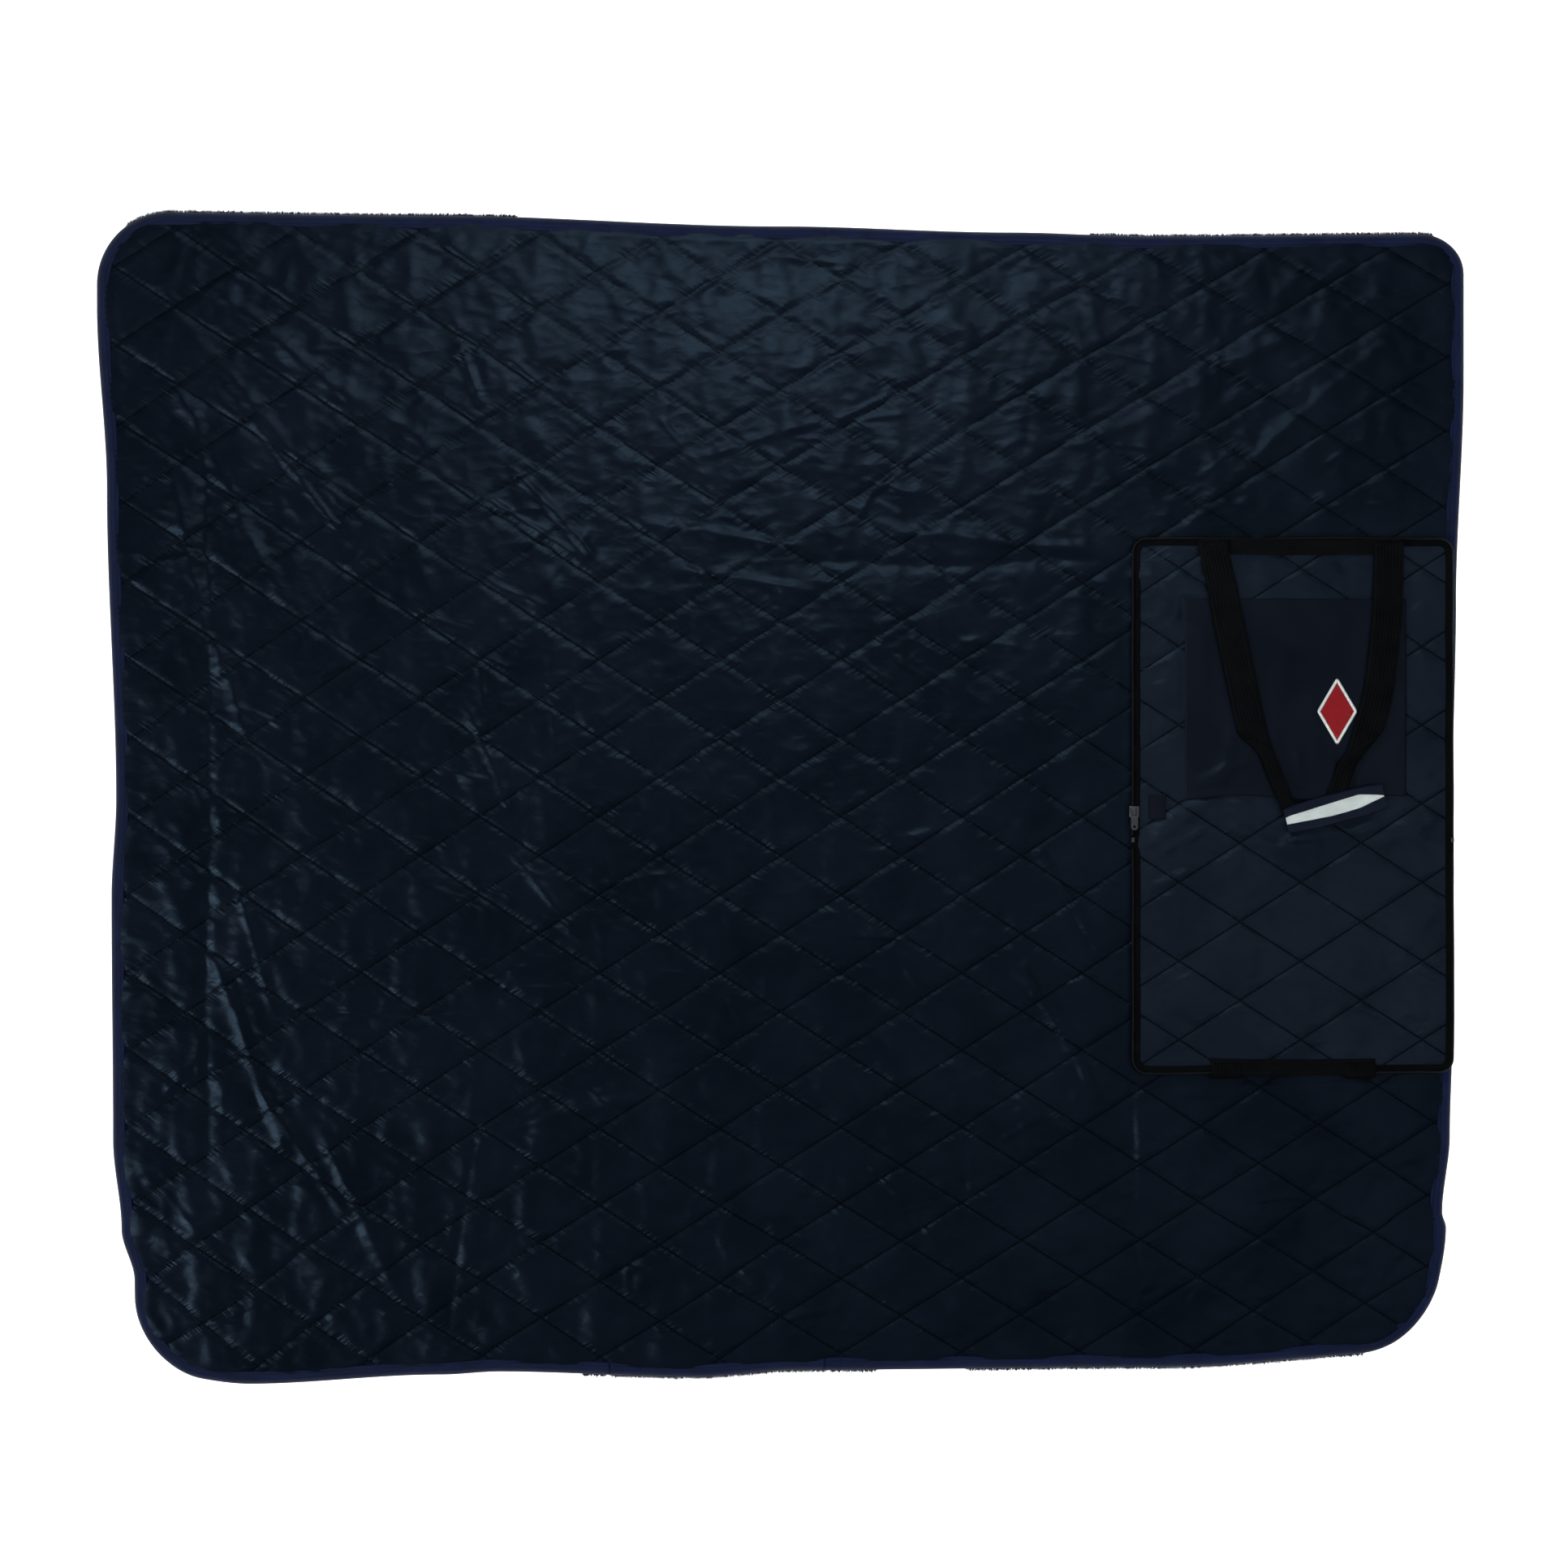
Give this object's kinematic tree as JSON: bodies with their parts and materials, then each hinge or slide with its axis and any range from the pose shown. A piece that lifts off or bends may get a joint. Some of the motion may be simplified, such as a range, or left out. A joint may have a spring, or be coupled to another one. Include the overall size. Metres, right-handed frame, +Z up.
{
  "type": "quilted picnic blanket with tote cover",
  "caption": "Large quilted outdoor blanket with fleece underside, bound edge, and a sewn-on zip tote cover with pocket and webbing handles.",
  "frame": {"origin": "on the floor under the middle of the open blanket", "axes": "+X along the blanket towards the side with the tote cover, +Y across it towards the front handle's anchor, +Z up through the thickness"},
  "size_m": [1.778, 1.524, 0.0309],
  "materials": {
    "quilted_shell": "satin navy polyester, diamond quilted",
    "cover_shell": "satin navy polyester, diamond quilted",
    "pocket_cloth": "plain dark navy polyester",
    "fleece": "dark sherpa fleece",
    "batting": "white polyester fibre fill",
    "lining": "dark plain lining",
    "binding": "navy woven tape",
    "webbing": "black ribbed webbing",
    "zip_tape": "black woven zip tape",
    "zip_coil": "black nylon coil",
    "zip_metal": "plated zinc",
    "emblem": "red lozenge applique with a white border",
    "grip_lining": "pale brushed lining"
  },
  "bodies": {
    "right_half": {"quilt_shell_right": "quilted_shell", "batting_right": "batting", "fleece_right": "fleece", "binding_right": "binding", "cover_lining_front": "lining", "cover_batting_front": "batting", "cover_shell_front": "cover_shell", "zip_tape_front": "zip_tape", "zip_coil_front": "zip_coil", "zip_stop_left": "zip_metal", "zip_stop_right": "zip_metal", "zip_garage": "binding", "pocket_panel": "pocket_cloth", "emblem_patch": "emblem", "handle_anchor_front": "webbing"},
    "left_centre": {"quilt_shell_centre": "quilted_shell", "batting_centre": "batting", "fleece_centre": "fleece", "binding_centre_top": "binding", "binding_centre_bottom": "binding"},
    "left_flap": {"quilt_shell_left": "quilted_shell", "batting_left": "batting", "fleece_left": "fleece", "binding_left": "binding"},
    "back_cover": {"cover_lining_back": "lining", "cover_batting_back": "batting", "cover_shell_back": "cover_shell", "zip_tape_back": "zip_tape", "zip_coil_back": "zip_coil", "handle_anchor_back": "webbing", "back_strap_left": "webbing", "back_strap_right": "webbing", "back_strap_loop": "webbing"},
    "front_handle": {"front_strap_left": "webbing", "front_strap_right": "webbing", "front_strap_loop": "webbing", "grip_wrap": "cover_shell", "grip_lining": "grip_lining"},
    "zip_slider": {"zip_slider_body": "zip_metal"},
    "zip_pull": {"zip_pull_tab": "zip_metal"}
  },
  "joints": [
    {"name": "centre_fold", "type": "hinge", "parent": "right_half", "child": "left_centre", "pos_m": [0, 0, 0.027], "axis": [0, 1, 0], "range_deg": [0, 180]},
    {"name": "left_fold", "type": "hinge", "parent": "left_centre", "child": "left_flap", "pos_m": [-0.4445, 0, 0.0135], "axis": [0, 1, 0], "range_deg": [0, 180]},
    {"name": "cover_fold", "type": "hinge", "parent": "right_half", "child": "back_cover", "pos_m": [0.665, -0.058, 0.0263], "axis": [-1, 0, 0], "range_deg": [0, 180]},
    {"name": "front_handle_swing", "type": "hinge", "parent": "right_half", "child": "front_handle", "pos_m": [0.675, 0.336, 0.0219], "axis": [-1, 0, 0], "range_deg": [0, 180]},
    {"name": "zip_slide", "type": "slide", "parent": "right_half", "child": "zip_slider", "axis": [0, 1, 0], "range_m": [0, 0.27]},
    {"name": "zip_pull_turn", "type": "hinge", "parent": "zip_slider", "child": "zip_pull", "pos_m": [0.45935, -0.018, 0.0213], "axis": [-1, 0, 0], "range_deg": [0, 180]}
  ]
}
